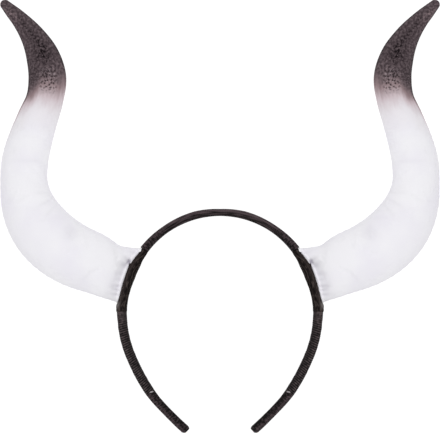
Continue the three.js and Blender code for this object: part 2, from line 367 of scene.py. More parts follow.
@dataclass(frozen=True)
class PrintedVelour(Finish):
    """Short-pile polyester velour, knitted, sheared and printed: matt, bright and even to the eye, with a
    tip that was airbrushed over a mottled print, so its dark end breaks up into dots and streaks.
    Shade is painted into its folds and along the seams of its dark tip."""

    name: str = "printed_polyester_velour"
    roughness: float = 0.9
    specular: float = 0.12
    relief: float = 0.25
    relief_mm: float = 0.2
    cloth: str = "#F2F1F5"
    shade: str = "#EDEBF2"
    crease: str = "#A19CA9"  # painted shade in folds and creases, darkest in the deepest
    tint: str = "#CCBDC2"
    blush: str = "#948083"
    ink: str = "#473C40"
    pale_ink: str = "#77696D"
    deep_ink: str = "#150E11"
    pile: Grain = Grain((0.7, 0.7, 0.7), 4.0)  # coarser than real pile, so that it shows
    patch: Grain = Grain((24.0, 24.0, 24.0), cut=Levels(0.4, 0.7))
    mottle: Grain = Grain((1.8, 1.8, 1.8), cut=Levels(0.42, 0.72, 0.0, 0.9))
    clump: Grain = Grain((1.3, 1.3, 1.3), twist=0.4, cut=Levels(0.42, 0.64, 0.2, 1.0, Ramp.SOFT))
    strand: Grain = Grain((0.6, 1.9, 1.0), 1.5, 0.7, cut=Levels(0.5, 0.68, 0.0, 0.36, Ramp.SOFT))
    streak: Grain = Grain((2.0, 6.5, 1.0))
    fray_mm: float = 6.0  # how far streaks reach out of the fade
    fade_mm: float = 14.0  # half the length of the fade
    haze: Levels = Levels(6.0, 27.0, 0.33, 0.0)  # thin ink past the fade
    steps: tuple[float, ...] = (0.0, 0.34, 0.68, 1.0)  # tint, blush and ink come in between these
    dot_mm: float = 2.1
    dot_scatter: float = 0.8
    dot: Levels = Levels(0.46, 0.16, 0.0, 0.85, Ramp.SOFT)
    sway_mm: Pair = (2.8, 4.0)  # how far dots are pulled out of shape, and over what length

    def pattern(self, tree: Tree) -> tuple[Socket, Socket]:
        """Lays the ink in coats over the white cloth, with painted shade in its folds and along the seams
        of the tip.

        Args:
            tree: Node tree of the material.

        Returns:
            Colour, and height of the pile.
        """
        place = add(tree, "Attribute", out="Vector", attribute_name="cloth_mm")
        # crease is painted shade in the folds; edge is painted shade along the seams of the tip
        fade, deep, spots, hairs, edge, crease = (
            add(tree, "Attribute", out="Fac", attribute_name=name) for name in UNPRINTED
        )
        grains = self.pile, self.patch, self.mottle, self.clump, self.strand, self.streak
        pile, patch, mottle, clumps, strands, streak = (grain.share(tree, place) for grain in grains)
        frayed = add(tree, "Math", {0: streak, 1: self.fray_mm, 2: fade}, operation="MULTIPLY_ADD")
        middle = self.fray_mm / 2
        ending = Levels(middle - self.fade_mm, middle + self.fade_mm, 1.0, 0.0, Ramp.SOFT)
        reach, length = self.sway_mm
        sway = add(tree, "TexNoise", {"Vector": place, "Scale": 1 / length}, out=1)
        swayed = add(tree, "VectorMath", {0: sway, 1: (reach,) * 3, 2: place}, operation="MULTIPLY_ADD")
        spread = {"Vector": swayed, "Scale": 1 / self.dot_mm, "Randomness": self.dot_scatter}
        dots = add(tree, "TexVoronoi", spread, voronoi_dimensions="2D")
        density, haze, dots = (
            add(tree, "MapRange", {0: values, **cut.inputs}, interpolation_type=cut.ramp.value)
            for values, cut in ((frayed, ending), (fade, self.haze), (dots, self.dot))
        )
        tint, blush, full = (
            add(tree, "MapRange", {0: density, **Levels(*step).inputs})
            for step in zip(self.steps, self.steps[1:])
        )
        patterns, places = (clumps, clumps, mottle, strands, dots), (deep, edge, hairs, spots, spots)
        clumps, edge, hairs, strands, dots = (
            add(tree, "Math", {0: values, 1: where}, operation="MULTIPLY")
            for values, where in zip(patterns, places)
        )
        colour, inked = linear(self.cloth), linear(self.ink)
        # the edge coat is painted shade along the seams of the dark tip
        for share, coat in ((mottle, self.pale_ink), (clumps, self.deep_ink), (edge, self.deep_ink)):
            blend = {0: share, MIX_A: inked, MIX_B: linear(coat)}
            inked = add(tree, "Mix", blend, MIXED, data_type="RGBA")
        for share, coat in (
            (patch, linear(self.shade)),
            # painted shade in the folds
            (crease, linear(self.crease)),
            (haze, linear(self.tint)),
            (tint, linear(self.tint)),
            (blush, linear(self.blush)),
            (full, inked),
            (hairs, linear(self.blush)),
            (strands, linear(self.tint)),
            (dots, linear(self.deep_ink)),
        ):
            blend = {0: share, MIX_A: colour, MIX_B: coat}
            colour = add(tree, "Mix", blend, MIXED, data_type="RGBA")
        return colour, pile


@dataclass(frozen=True)
class WovenRibbon(Finish):
    """Black polyester ribbon with fine cross ribs, glued round the hoop with its edge lapped on the front:
    soft dark sheen, paler on the lap, with painted shade near black on the side against the hair."""

    name: str = "woven_polyester_ribbon"
    roughness: float = 0.62
    specular: float = 0.1
    relief: float = 0.6
    relief_mm: float = 0.3
    pale: str = "#584B4F"
    deep: str = "#0D090A"
    rib_mm: float = 1.0  # coarser than real ribs, so that they show
    rib_bend: float = 2.5
    rib_tone: float = 0.2
    thread: Grain = Grain((0.9, 9.0, 1.0), 1.5)
    grain: Grain = Grain((2.2, 1.0, 1.0), 1.5)  # coarser than the real weave, so that it shows
    weave: Levels = Levels(0.34, 0.66, 0.0, 0.75)
    # strength of the painted shade held in the lap layer
    lap_shade_tone: float = 0.55
    tone: Levels = Levels(0.15, 1.15)

    def pattern(self, tree: Tree) -> tuple[Socket, Socket]:
        """Darkens the ribbon by its weave, its ribs, and the painted shade of its lap layer.

        Args:
            tree: Node tree of the material.

        Returns:
            Colour, and height of the ribs.
        """
        place = add(tree, "Attribute", out="Vector", attribute_name="ribbon_mm")
        # the lap layer holds painted shade, darkest towards the inner side
        lap, slack = (add(tree, "Attribute", out="Fac", attribute_name=name) for name in ("lap", "slack"))
        wave = {"Scale": 1 / (self.rib_mm * WAVE_BANDS), "Distortion": self.rib_bend, "Detail": 1.0}
        ribs = add(tree, "TexWave", {"Vector": place, **wave}, out=1, bands_direction="Y")
        threads, grain = (weave.share(tree, place) for weave in (self.thread, self.grain))
        woven = add(tree, "Mix", {0: slack, 2: threads, 3: grain})
        tone = add(tree, "MapRange", {0: woven, **self.weave.inputs})
        for part, strength in ((ribs, self.rib_tone), (lap, self.lap_shade_tone)):
            tone = add(tree, "Math", {0: part, 1: strength, 2: tone}, operation="MULTIPLY_ADD")
        tone = add(tree, "MapRange", {0: tone, **self.tone.inputs})
        shades = {MIX_A: linear(self.pale), MIX_B: linear(self.deep)}
        return add(tree, "Mix", {0: tone, **shades}, MIXED, data_type="RGBA"), ribs


@dataclass(frozen=True)
class WoundCord(Finish):
    """Black spun cord wound in close turns: matt ridges with a thread's twist. The ridges are painted
    paler as light, and the grooves and the side towards the head are painted dark as shade.
    """

    name: str = "wound_spun_cord"
    roughness: float = 0.75
    specular: float = 0.15
    relief: float = 0.4
    relief_mm: float = 0.1
    # painted light on the ridges, painted shade in the grooves and on the side towards the head
    ridge: str = "#524849"
    groove: str = "#070506"
    inner: str = "#151112"
    twist: Grain = Grain((1.9, 1.9, 1.9), 3.0)  # coarser than the real twist, so that it shows
    painted_ridge_light: Levels = Levels(0.28, 0.6)
    shaded: Levels = Levels(0.45, 0.85, 0.0, 0.6, Ramp.SOFT)

    def pattern(self, tree: Tree) -> tuple[Socket, Socket]:
        """Paints light on the ridges, and shade in the grooves and on the side towards the head.

        Args:
            tree: Node tree of the material.

        Returns:
            Colour, and height of the twist.
        """
        place = add(tree, "Attribute", out="Vector", attribute_name="cord_mm")
        ridge, inside = (
            add(tree, "Attribute", out="Fac", attribute_name=name) for name in ("ridge", "inside")
        )
        fibre = self.twist.share(tree, place)
        # painted ridge light, broken by the twist of the fibres; the grooves keep their painted shade
        painted_ridge_light = add(tree, "Math", {0: fibre, 1: ridge}, operation="MULTIPLY")
        colour = linear(self.groove)
        for values, cut, coat in ((painted_ridge_light, self.painted_ridge_light, self.ridge), (inside, self.shaded, self.inner)):
            share = add(tree, "MapRange", {0: values, **cut.inputs}, interpolation_type=cut.ramp.value)
            blend = {0: share, MIX_A: colour, MIX_B: linear(coat)}
            colour = add(tree, "Mix", blend, MIXED, data_type="RGBA")
        return colour, fibre


@dataclass(frozen=True)
class FrayedThread(Finish):
    """Cut end of the cord, where its spun fibres show pale and untwisted."""

    name: str = "frayed_cord_end"
    roughness: float = 0.9
    specular: float = 0.1
    light: str = "#C4BEC0"
    dark: str = "#5E585A"
    fibre: Grain = Grain((0.3, 0.3, 0.3))

    def pattern(self, tree: Tree) -> tuple[Socket, None]:
        """Mixes pale and dark fibres.

        Args:
            tree: Node tree of the material.

        Returns:
            Colour, and no height.
        """
        place = add(tree, "Attribute", out="Vector", attribute_name="strip_mm")
        shades = {0: self.fibre.share(tree, place), MIX_A: linear(self.dark), MIX_B: linear(self.light)}
        return add(tree, "Mix", shades, MIXED, data_type="RGBA"), None


@dataclass(frozen=True)
class PressedFelt(Finish):
    """Black felt, pressed and pulled tight lengthways: matt brown-black with pale drawn fibres."""

    name: str = "pressed_wool_felt"
    roughness: float = 0.95
    specular: float = 0.1
    relief: float = 0.5
    relief_mm: float = 0.15
    # deep is painted shade on the side towards the head
    deep: str = "#0F0B0B"
    outer: str = "#2A2423"
    drawn: str = "#4A413E"
    # painted highlight on the front of the flap that stands off
    rim: str = "#6E6967"
    fibre: Grain = Grain((0.8, 4.2, 1.0), 6.0, fineness=0.62, cut=Levels(0.45, 0.7, ramp=Ramp.SOFT))
    painted_inner_shade: Levels = Levels(0.2, 0.6, ramp=Ramp.SOFT)
    fuzz: Grain = Grain((0.35, 0.35, 0.35), 3.0)

    def pattern(self, tree: Tree) -> tuple[Socket, Socket]:
        """Draws pale fibres over felt with shade painted towards the head, and a painted highlight on the
        flap.

        Args:
            tree: Node tree of the material.

        Returns:
            Colour, and height of the fuzz.
        """
        place = add(tree, "Attribute", out="Vector", attribute_name="felt_mm")
        rim, inside = (
            add(tree, "Attribute", out="Fac", attribute_name=name) for name in ("rim", "inside")
        )
        drawn, fuzz = (grain.share(tree, place) for grain in (self.fibre, self.fuzz))
        cut = self.painted_inner_shade
        painted_inner_shade = add(tree, "MapRange", {0: inside, **cut.inputs}, interpolation_type=cut.ramp.value)
        colour = linear(self.outer)
        for share, coat in ((painted_inner_shade, self.deep), (drawn, self.drawn), (rim, self.rim)):
            blend = {0: share, MIX_A: colour, MIX_B: linear(coat)}
            colour = add(tree, "Mix", blend, MIXED, data_type="RGBA")
        return colour, fuzz


@dataclass(frozen=True)
class StudioPaper(Finish):
    """Matt rolled paper, lit until it burns out to an even white."""

    name: str = "matt_studio_paper"
    roughness: float = 1.0
    specular: float = 0.0
    glow: float = 0.92
    paper: str = "#8A8A8A"

    def pattern(self, tree: Tree) -> tuple[Colour, None]:
        """Even paper without relief."""
        return linear(self.paper), None


@dataclass(frozen=True)
class Arc:
    """Round stretch of the hoop: its radius in millimetres and its turn in degrees."""

    radius: float
    turn: float


@dataclass(frozen=True)
class WallRow:
    """Wall of the hoop at a distance along it: how far its inner face stands outside the arcs, its
    thickness, and its depth from front to back."""

    along: float
    inset: float
    thickness: float
    depth: float


@dataclass
class HoopShape:
    """Course and wall of the hoop, from the top of its crown down the right side."""

    arcs: tuple[Arc, ...] = (Arc(60.2, 90.0), Arc(69.5, 26.0), Arc(150.0, 21.6))
    rows: tuple[WallRow, ...] = (
        WallRow(0.0, 0.65, 4.1, 9.0),
        WallRow(7.0, 0.57, 4.45, 9.0),
        WallRow(15.0, 0.5, 4.75, 9.0),
        WallRow(36.0, 0.12, 4.6, 9.0),
        WallRow(45.0, -0.2, 4.95, 9.0),
        WallRow(53.96, -0.57, 5.3, 9.0),
        WallRow(53.98, 0.85, 1.3, 8.0),
        WallRow(57.0, 0.6, 1.5, 8.0),
        WallRow(60.0, 0.36, 2.5, 8.0),
        WallRow(65.0, -0.05, 3.6, 8.0),
        WallRow(73.0, -0.28, 3.55, 8.0),
        WallRow(78.0, -0.02, 3.3, 8.0),
        WallRow(84.0, 0.5, 2.75, 8.0),
        WallRow(88.0, 0.77, 2.75, 8.0),
        WallRow(95.1, 0.92, 3.4, 8.0),
        WallRow(100.0, 0.92, 3.15, 8.0),
        WallRow(110.0, 1.1, 3.2, 8.0),
        WallRow(125.0, 1.32, 3.25, 8.0),
        WallRow(137.0, 1.75, 3.3, 8.0),
        WallRow(149.24, 2.05, 3.2, 8.0),
        WallRow(149.26, 0.8, 5.65, 9.0),
        WallRow(155.0, 0.8, 5.3, 9.0),
        WallRow(164.0, 0.24, 5.1, 9.0),
        WallRow(170.0, -0.12, 5.15, 9.0),
        WallRow(183.0, -0.6, 5.3, 9.0),
    )
    height: float = 5.5
    nap: float = 0.15  # fibres that stand over the solids
    outer_nap: float = 0.32
    most_rounding: float = 0.48  # of a section's thickness or depth
    corner_steps: int = 7
    face_steps: int = 9
    side_steps: int = 12
    centre_y: float = field(init=False)

    def __post_init__(self) -> None:
        """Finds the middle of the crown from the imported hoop's top."""
        top = self.arcs[0].radius + self.rows[0].inset + self.rows[0].thickness
        self.centre_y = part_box("hoop")[1].y / MM - top

    @property
    def length(self) -> float:
        """Distance from the top of the crown to an end."""
        return sum(arc.radius * math.radians(arc.turn) for arc in self.arcs)

    def course(self, along: Grid) -> tuple[Grid, Grid]:
        """Follows the inside of the hoop.

        Args:
            along: Distances from the top of the crown, negative on the left.

        Returns:
            Points and directions out of the hoop, as x and y.
        """
        rest, heading = np.abs(along), np.zeros_like(along)
        out = np.stack([np.zeros_like(along), np.ones_like(along)], -1)
        point = out * self.arcs[0].radius
        for arc in self.arcs:
            most = math.inf if arc is self.arcs[-1] else math.radians(arc.turn)
            angle = np.minimum(rest / arc.radius, most)
            point = point - out * arc.radius
            heading = heading + angle
            out = np.stack([np.sin(heading), np.cos(heading)], -1)
            point = point + out * arc.radius
            rest = np.maximum(rest - arc.radius * angle, 0.0)
        sign = np.stack([np.where(along < 0, -1.0, 1.0), np.ones_like(along)], -1)
        return point * sign + (0.0, self.centre_y), out * sign

    def wall(self, along: Grid, margin: float = 0.0, napped: bool = False) -> tuple[Grid, Grid, Grid]:
        """Looks up the wall of the hoop.

        Args:
            along: Distances from the top of the crown.
            margin: Growth all round.
            napped: Whether the fibres that stand over it are counted.

        Returns:
            Inner face, outer face and depth.
        """
        knots, *columns = np.array([astuple(row) for row in self.rows]).T
        inset, thickness, depth = (np.interp(np.abs(along), knots, column) for column in columns)
        nap, outer_nap = (self.nap, self.outer_nap) if napped else (0.0, 0.0)
        return inset - margin - nap, inset + thickness + margin + outer_nap, depth + 2 * margin + 2 * nap

    def section(self, inner: Grid, outer: Grid, depth: Grid, rounding: float) -> tuple[Grid, Grid]:
        """Rounded sections of a wall.

        Args:
            inner: Inner faces.
            outer: Outer faces.
            depth: Depths from front to back.
            rounding: Radius of the corners.

        Returns:
            Points of each section and the directions out of them, as across and deep.
        """
        radius = np.minimum(rounding, self.most_rounding * np.minimum(outer - inner, depth))
        corners, normals = [], []
        for quarter, (is_outer, is_front) in enumerate(((1, 1), (0, 1), (0, 0), (1, 0))):
            angle = (quarter + np.linspace(0, 1, self.corner_steps)) * math.pi / 2
            way = np.stack([np.cos(angle), np.sin(angle)], -1)
            across = outer - radius if is_outer else inner + radius
            deep = (depth / 2 - radius) * (1 if is_front else -1)
            middle = np.stack([across, deep], -1)[:, None]
            corners.append(middle + way * radius[:, None, None])
            normals.append(way)
        points, ways = [], []
        for i, count in enumerate((self.face_steps, self.side_steps, self.face_steps, self.side_steps)):
            start, end = corners[i][:, -1:], corners[(i + 1) % 4][:, :1]
            share = np.linspace(0, 1, count + 1)[1:-1, None]
            points += [corners[i], start + (end - start) * share]
            ways += [normals[i], np.repeat(normals[i][-1:], count - 1, 0)]
        return np.concatenate(points, 1), np.concatenate(ways)

    def place(self, along: Grid, section: Grid) -> Grid:
        """Sets points upright on the hoop.

        Args:
            along: Distance of each section, or of each point.
            section: Points as across and deep.

        Returns:
            Points as x, y and z.
        """
        far = np.broadcast_to(along[:, None] if along.ndim == 1 else along, section.shape[:-1])
        point, out = self.course(far.ravel())
        flat = point.reshape(*far.shape, 2) + out.reshape(*far.shape, 2) * section[..., :1]
        return np.concatenate([flat, self.height + section[..., 1:]], -1)


def around_mm(section: Grid, along: Grid) -> Grid:
    """Lays sections out flat as a cloth would be: distance round, distance along, and nothing.

    Args:
        section: Points of the sections.
        along: Distance of each section.

    Returns:
        A vector for each point.
    """
    gap = np.linalg.norm(np.diff(section, axis=1, prepend=section[:, :1]), axis=-1)
    far = np.cumsum(gap, 1)
    return np.stack([far, np.broadcast_to(along[:, None], far.shape), np.zeros_like(far)], -1)


def inside_share(section: Grid, inner: Grid, outer: Grid) -> Grid:
    """Share of each point from the outer face, 0, to the inner face, 1."""
    return np.clip((outer[:, None] - section[..., 0]) / (outer - inner)[:, None], 0.0, 1.0)


@dataclass
class RibbonHoop:
    """Hoop in its ribbon, one strip from end to end with blunt rounded ends."""

    shape: HoopShape
    step: float = 1.2
    rounding: float = 1.7
    end_rounding: float = 2.6
    end_shrink: float = 0.62
    end_lean: float = 0.35  # how much squarer the inner corner of an end is
    end_steps: int = 9
    covered_from: float = 53.97  # felt and cord cover the hoop here
    covered_to: float = 149.25
    lap: float = 0.22  # one thickness of ribbon, where its edge lies on the front
    lap_at: Pair = (0.36, 0.48)  # share of the way from the outer to the inner face
    under_lap_shade: float = 0.85  # painted shade: how dark the ribbon is below the lap, towards the inner side
    crown_end: Pair = (20.0, 44.0)  # where the crown's two tones run together
    under_loss: float = 0.35  # how much painted shade the lower ribbon loses, and how much darker all of it gets, on the sides
    side_tone: float = 0.52
    # painted shade on the inner side of the arms
    arm_start: Pair = (130.0, 150.0)
    arm_inner: Pair = (0.3, 0.9)
    arm_inner_shade: float = 0.12
    slack_start: Pair = (28.0, 46.0)  # where the ribbon lies slack
    slack: float = 0.9

    def build(self) -> Piece:
        """Builds the whole hoop.

        Returns:
            The new piece.
        """
        last = self.shape.length - self.end_rounding
        body = np.linspace(0.0, last, round(last / self.step))
        body = np.union1d(body, [row.along for row in self.shape.rows if row.along < last])
        turn = np.linspace(0.0, END_TURN, self.end_steps)[1:]
        half = np.concatenate([body, last + self.end_rounding * np.sin(turn)])
        keep = np.concatenate([np.ones_like(body), 1 - self.end_shrink * (1 - np.cos(turn))])
        along = np.concatenate([-half[:0:-1], half])
        keep = np.concatenate([keep[:0:-1], keep])
        far = np.abs(along)
        covered = (far > self.covered_from) & (far < self.covered_to)
        bare, napped = self.shape.wall(along), self.shape.wall(along, napped=True)
        inner, outer, depth = np.where(covered, bare, napped)
        cut = (outer - inner) * (1 - keep) / 2
        lower, upper = inner + cut * (1 - self.end_lean), outer - cut * (1 + self.end_lean / 2)
        section, _ = self.shape.section(lower, upper, depth * keep, self.rounding)
        inside = inside_share(section, inner, outer)
        under = smooth(inside, *self.lap_at)
        section[..., 1] -= self.lap * under * (section[..., 1] > 0) * keep[:, None]
        side, arm, slack = (
            smooth(far, *start)[:, None] for start in (self.crown_end, self.arm_start, self.slack_start)
        )
        # painted shade: darker below the lap towards the inner side, darker still inside the arms
        tone = under * (self.under_lap_shade - self.under_loss * side) + self.side_tone * side
        layers = {
            "ribbon_mm": around_mm(section, along),
            "lap": tone + self.arm_inner_shade * smooth(inside, *self.arm_inner) * arm,
            "slack": np.broadcast_to(self.slack * slack, under.shape),
        }
        return make_mesh("hoop_ribbon", self.shape.place(along, section), Ends.FILLED, Side.RIGHT, layers)


@dataclass
class WoundArm:
    """Cord wound in close turns round an arm of the hoop."""

    shape: HoopShape
    start: float = 95.05
    end: float = 149.2
    gap: float = 0.3
    wall: float = 1.0
    groove: float = 0.34
    fullness: float = 0.7  # how square the cord's round back is
    pitch: float = 1.38
    starts: int = 3  # cords wound side by side, which slants the turns
    steps_a_turn: int = 8
    flush: Pair = (97.0, 107.0)  # the first turns lie flush, and their grooves open here
    flush_groove: float = 0.25  # share of a groove's depth before that
    uneven: Ripple = Ripple(0.06, 5.0, 3)
    rounding: float = 2.2

    def build(self, side: Side) -> Piece:
        """Builds the wound cord of one arm.

        Args:
            side: Side of the headband.

        Returns:
            The new piece.
        """
        turns = round((self.end - self.start) / self.pitch)
        along = np.linspace(self.start, self.end, turns * self.steps_a_turn + 1)
        inner, outer, depth = self.shape.wall(along, self.gap + self.wall, napped=True)
        section, way = self.shape.section(inner, outer, depth, self.rounding)
        laid = around_mm(section, along)
        share = laid[..., 0] / laid[:, -1:, 0]
        phase = (along[:, None] - self.start) / self.pitch + self.starts * share
        ridge = np.abs(np.sin(math.pi * phase)) ** self.fullness
        clear = smooth(along, *self.flush)[:, None]
        ridge = 1 - (1 - ridge) * (self.flush_groove + (1 - self.flush_groove) * clear)
        section = section - way * (self.groove * (1 - ridge) - self.uneven.at(laid))[..., None]
        bore, _ = self.shape.section(*self.shape.wall(along, self.gap), self.rounding - self.wall)
        rings = np.concatenate([self.shape.place(along, section), self.shape.place(along, bore)[::-1]])
        # the cord's material paints shade towards the head, and light on the ridges
        inside = inside_share(section, inner, outer)
        layers = {
            "cord_mm": np.concatenate([laid, laid[::-1]]),
            "ridge": np.concatenate([ridge, 0 * ridge]),
            "inside": np.concatenate([inside, inside[::-1]]),
        }
        return make_mesh(f"arm_cord_{side.tag}", rings, Ends.JOINED, side, layers)


@dataclass
class FeltSleeve:
    """Felt wrapped round the hoop where a horn is fixed, standing off a little at its lower end."""

    shape: HoopShape
    start: float = 54.0
    end: float = 95.0
    lifts: tuple[Pair, ...] = (  # distance along the hoop, and how far the felt stands off
        (88.8, 0.0),
        (91.0, 0.82),
        (92.0, 0.92),
        (93.0, 0.6),
        (95.0, 0.33),
    )
    flap: float = 91.3  # where the felt that stands off catches the light, painted there as a highlight
    flap_length: float = 1.7
    flap_outer: Pair = (0.1, 0.4)  # shares across and to the front between which it does
    flap_front: Pair = (0.1, 0.4)
    gap: float = 0.3
    wall: float = 1.2
    inner_nap: float = 0.1
    step: float = 0.7
    rounding: float = 2.4
    edge: float = 0.16  # the cut edges are rounded over this length
    edge_press: Pair = (0.16, 0.0216)  # depth of the rounding, at the edge and at that length
    uneven: Ripple = Ripple(0.09, 9.0, 11)

    def raised(self, along: Grid) -> Grid:
        """How far the outer side stands off the hoop."""
        return np.interp(along, *zip(*self.lifts))

    def outer_face(self, along: Grid) -> Grid:
        """Outer face of the felt, from the hoop's arcs."""
        inside = np.clip(along, self.start, self.end)
        return self.shape.wall(inside, self.gap + self.wall)[1] + self.raised(inside)

    def build(self, side: Side) -> Piece:
        """Builds the felt of one side.

        Args:
            side: Side of the headband.

        Returns:
            The new piece.
        """
        count = round((self.end - self.start) / self.step)
        middle = np.linspace(self.start, self.end, count + 1)[1:-1]
        ends = (self.start, self.start + self.edge), (self.end - self.edge, self.end)
        along = np.concatenate([ends[0], middle, ends[1]])
        pressed = np.concatenate([self.edge_press, 0 * middle, self.edge_press[::-1]])[:, None]
        inner, outer, depth = self.shape.wall(along, self.gap + self.wall)
        inner = inner - self.inner_nap
        outer = outer + self.raised(along) + self.shape.nap
        section, way = self.shape.section(inner, outer, depth, self.rounding)
        laid = around_mm(section, along)
        section = section + way * (self.uneven.at(laid) * (1 - pressed) - pressed)[..., None]
        bore_inner, bore_outer, bore_depth = self.shape.wall(along, self.gap)
        bore_outer = bore_outer + self.raised(along)
        bore, _ = self.shape.section(bore_inner, bore_outer, bore_depth, self.rounding - self.wall)
        outside, inside = self.shape.place(along, section), self.shape.place(along, bore)
        outside[..., 2] = np.maximum(outside[..., 2], 0.0)
        # share towards the head, which the felt's material paints in shade
        across = inside_share(section, inner, outer)
        # painted highlight where the front of the flap catches the light
        front = smooth(section[..., 1] / depth[:, None], *self.flap_front)
        rim = bell(along[:, None] - self.flap, self.flap_length)
        rim = rim * (1 - smooth(across, *self.flap_outer)) * front
        layers = {
            "felt_mm": np.concatenate([laid, laid[::-1]]),
            "rim": np.concatenate([rim, 0 * rim]),
            "inside": np.concatenate([across, across[::-1]]),
        }
        rings = np.concatenate([outside, inside[::-1]])
        piece = make_mesh(f"felt_wrap_{side.tag}", rings, Ends.JOINED, side, layers)
        return piece


@dataclass(frozen=True)
class StripRow:
    """Section of a narrow strip: its place across the hoop, its depth towards the front, and half its
    width and thickness."""

    across: float
    deep: float
    half_width: float
    half_thickness: float


@dataclass
class LaidStrip:
    """Narrow soft strip laid over the front of the hoop, from its outer side inwards."""

    shape: HoopShape
    name: str
    along: float
    slant: float
    rows: tuple[StripRow, ...]
    steps: int = 18
    sides: int = 20

    def build(self, side: Side) -> Piece:
        """Builds the strip of one side.

        Args:
            side: Side of the headband.

        Returns:
            The new piece.
        """
        table = np.array([astuple(row) for row in self.rows])
        chord = distances(table[:, :2])
        far = np.linspace(0, chord[-1], self.steps)
        line = through(chord, table, far)
        ahead = np.gradient(line[:, :2], axis=0)
        ahead /= np.linalg.norm(ahead, axis=1, keepdims=True)
        up = np.stack([ahead[:, 1], -ahead[:, 0]], -1)
        angle = np.linspace(0, 2 * math.pi, self.sides, endpoint=False)
        wide, thick = np.cos(angle) * line[:, 2:3], np.sin(angle) * line[:, 3:]
        section = line[:, None, :2] + up[:, None] * thick[..., None]
        along = self.along + self.slant * (far / chord[-1])[:, None] + wide
        laid = np.stack([wide, np.broadcast_to(far[:, None], wide.shape), thick], -1)
        layers = {"strip_mm": laid, "cloth_mm": laid}
        layers |= {key: np.full(wide.shape, value) for key, value in UNPRINTED.items()}
        rings = self.shape.place(along, section)
        return make_mesh(f"{self.name}_{side.tag}", rings, Ends.FILLED, side, layers)


@dataclass(frozen=True)
class HornRow:
    """Section of a horn: its middle from the centre of the crown, its half width in the plane of the
    hoop, its half depth from front to back, and the height of its middle."""

    out: float
    up: float
    half_width: float
    half_depth: float
    rise: float


@dataclass(frozen=True)
class Pleat:
    """Fold that runs up the horn from its foot. across is from the lower seam, -1, to the upper, 1."""

    across: float
    slant: float
    width: float
    reach: float
    depth: float


@dataclass(frozen=True)
class Patch:
    """Soft patch on a horn: its strength, its middle and half size along and across, how it slants, and
    how flat its middle is. Creases are patches that are sunk, and the print has patches of ink."""

    strength: float
    along: float
    half_along: float
    across: float
    half_across: float
    slant: float = 0.0
    flatness: float = 2.0

    def at(self, along: Grid, across: Grid) -> Grid:
        """Works out the patch.

        Args:
            along: Distances along the horn, from where the patch is measured.
            across: Places across the horn, -1 to 1.

        Returns:
            Strength at each place.
        """
        beside = across - self.across
        offsets = (along - self.along - self.slant * beside) / self.half_along, beside / self.half_across
        return self.strength * np.exp(-sum(np.abs(offset) ** self.flatness for offset in offsets))


@dataclass(frozen=True)
class InkStripe:
    """Stripe of the print that runs from the tip: its strength, where it starts, its place and half width
    across the horn, and how far it sways."""

    strength: float
    start: Pair
    across: float
    half_across: float
    sway: float = 0.0
    sway_length: float = 5.0

    def at(self, far: Grid, across: Grid) -> Grid:
        """Strength of the stripe at places on the horn."""
        line = self.across + self.sway * np.sin(far / self.sway_length)
        return self.strength * smooth(far, *self.start) * bell(across - line, self.half_across)


@dataclass(frozen=True)
class TipPrint:
    """Layout of the dark print on a horn, and of shade painted along its seams, by distance from the tip
    and place across, -1 to 1.
    """

    ink_end: tuple[Pair, ...] = (  # place across, and distance from the tip
        (-1.0, 89.0),
        (-0.91, 77.5),
        (-0.67, 75.5),
        (-0.33, 67.6),
        (0.33, 67.8),
        (0.67, 68.0),
        (1.0, 66.0),
    )
    dots: Patch = Patch(1.0, 60.0, 7.2, 0.06, 0.5, flatness=4.0)
    thinning: float = 0.4  # how far the ink draws back between its dots
    hairs: tuple[Patch, ...] = (
        Patch(0.75, 10.0, 7.0, -0.35, 0.5),
        Patch(0.35, 55.0, 4.0, 0.4, 0.6),
    )
    ground: float = 0.15
    core: tuple[Patch | InkStripe, ...] = (
        InkStripe(0.38, (12.0, 20.0), 0.05, 0.58),
        InkStripe(0.3, (8.0, 16.0), 0.1, 0.2, 0.12),
        Patch(0.60, 43.0, 7.0, 0.05, 0.58),
    )
    core_end: Pair = (44.0, 56.0)
    core_loss: float = 0.7
    corner: Patch = Patch(0.55, 55.0, 7.0, -0.7, 0.25)
    upper_seam_shade: Pair = (0.84, 0.97)  # painted shade: the dark tip is darker along the seams, where its sides turn away
    lower_seam_shade: Pair = (0.86, 0.98)
    seam_shade_start: Pair = (1.0, 8.0)
    panel_gap: float = 60.0  # keeps the pattern of the back panel apart from the front's

    def layers(self, from_tip: Grid, angle: Grid, rings: Grid) -> Layers:
        """Lays the printed cloth out flat, finds where its dark tip ends and paints shade along its seams.

        Args:
            from_tip: Distance of each ring from the tip.
            angle: Places round the horn.
            rings: Points of the horn.

        Returns:
            Values for each point.
        """
        across, far = np.cos(angle)[None], from_tip[:, None]
        girth = np.linalg.norm(rings - np.roll(rings, 1, 1), axis=-1).sum(1)
        panel = np.where(np.sin(angle) >= 0, 0.0, self.panel_gap)
        turn = (np.where(angle > math.pi, angle - math.pi, angle) - math.pi / 2) / (2 * math.pi)
        spots = self.dots.at(far, across)
        deep = self.ground + sum(part.at(far, across) for part in self.core)
        deep = deep * (1 - self.core_loss * smooth(far, *self.core_end)) + self.corner.at(far, across)
        # painted shade along both seams of the dark tip
        seams = np.maximum(smooth(across, *self.upper_seam_shade), smooth(-across, *self.lower_seam_shade))
        return {
            "cloth_mm": np.stack(np.broadcast_arrays(girth[:, None] * turn, far, panel), -1),
            "fade_mm": far - np.interp(across, *zip(*self.ink_end)) + self.thinning * spots,
            "deep": deep,
            "spots": spots,
            "hairs": sum(patch.at(far, across) for patch in self.hairs),
            "edge": seams * smooth(far, *self.seam_shade_start),
        }


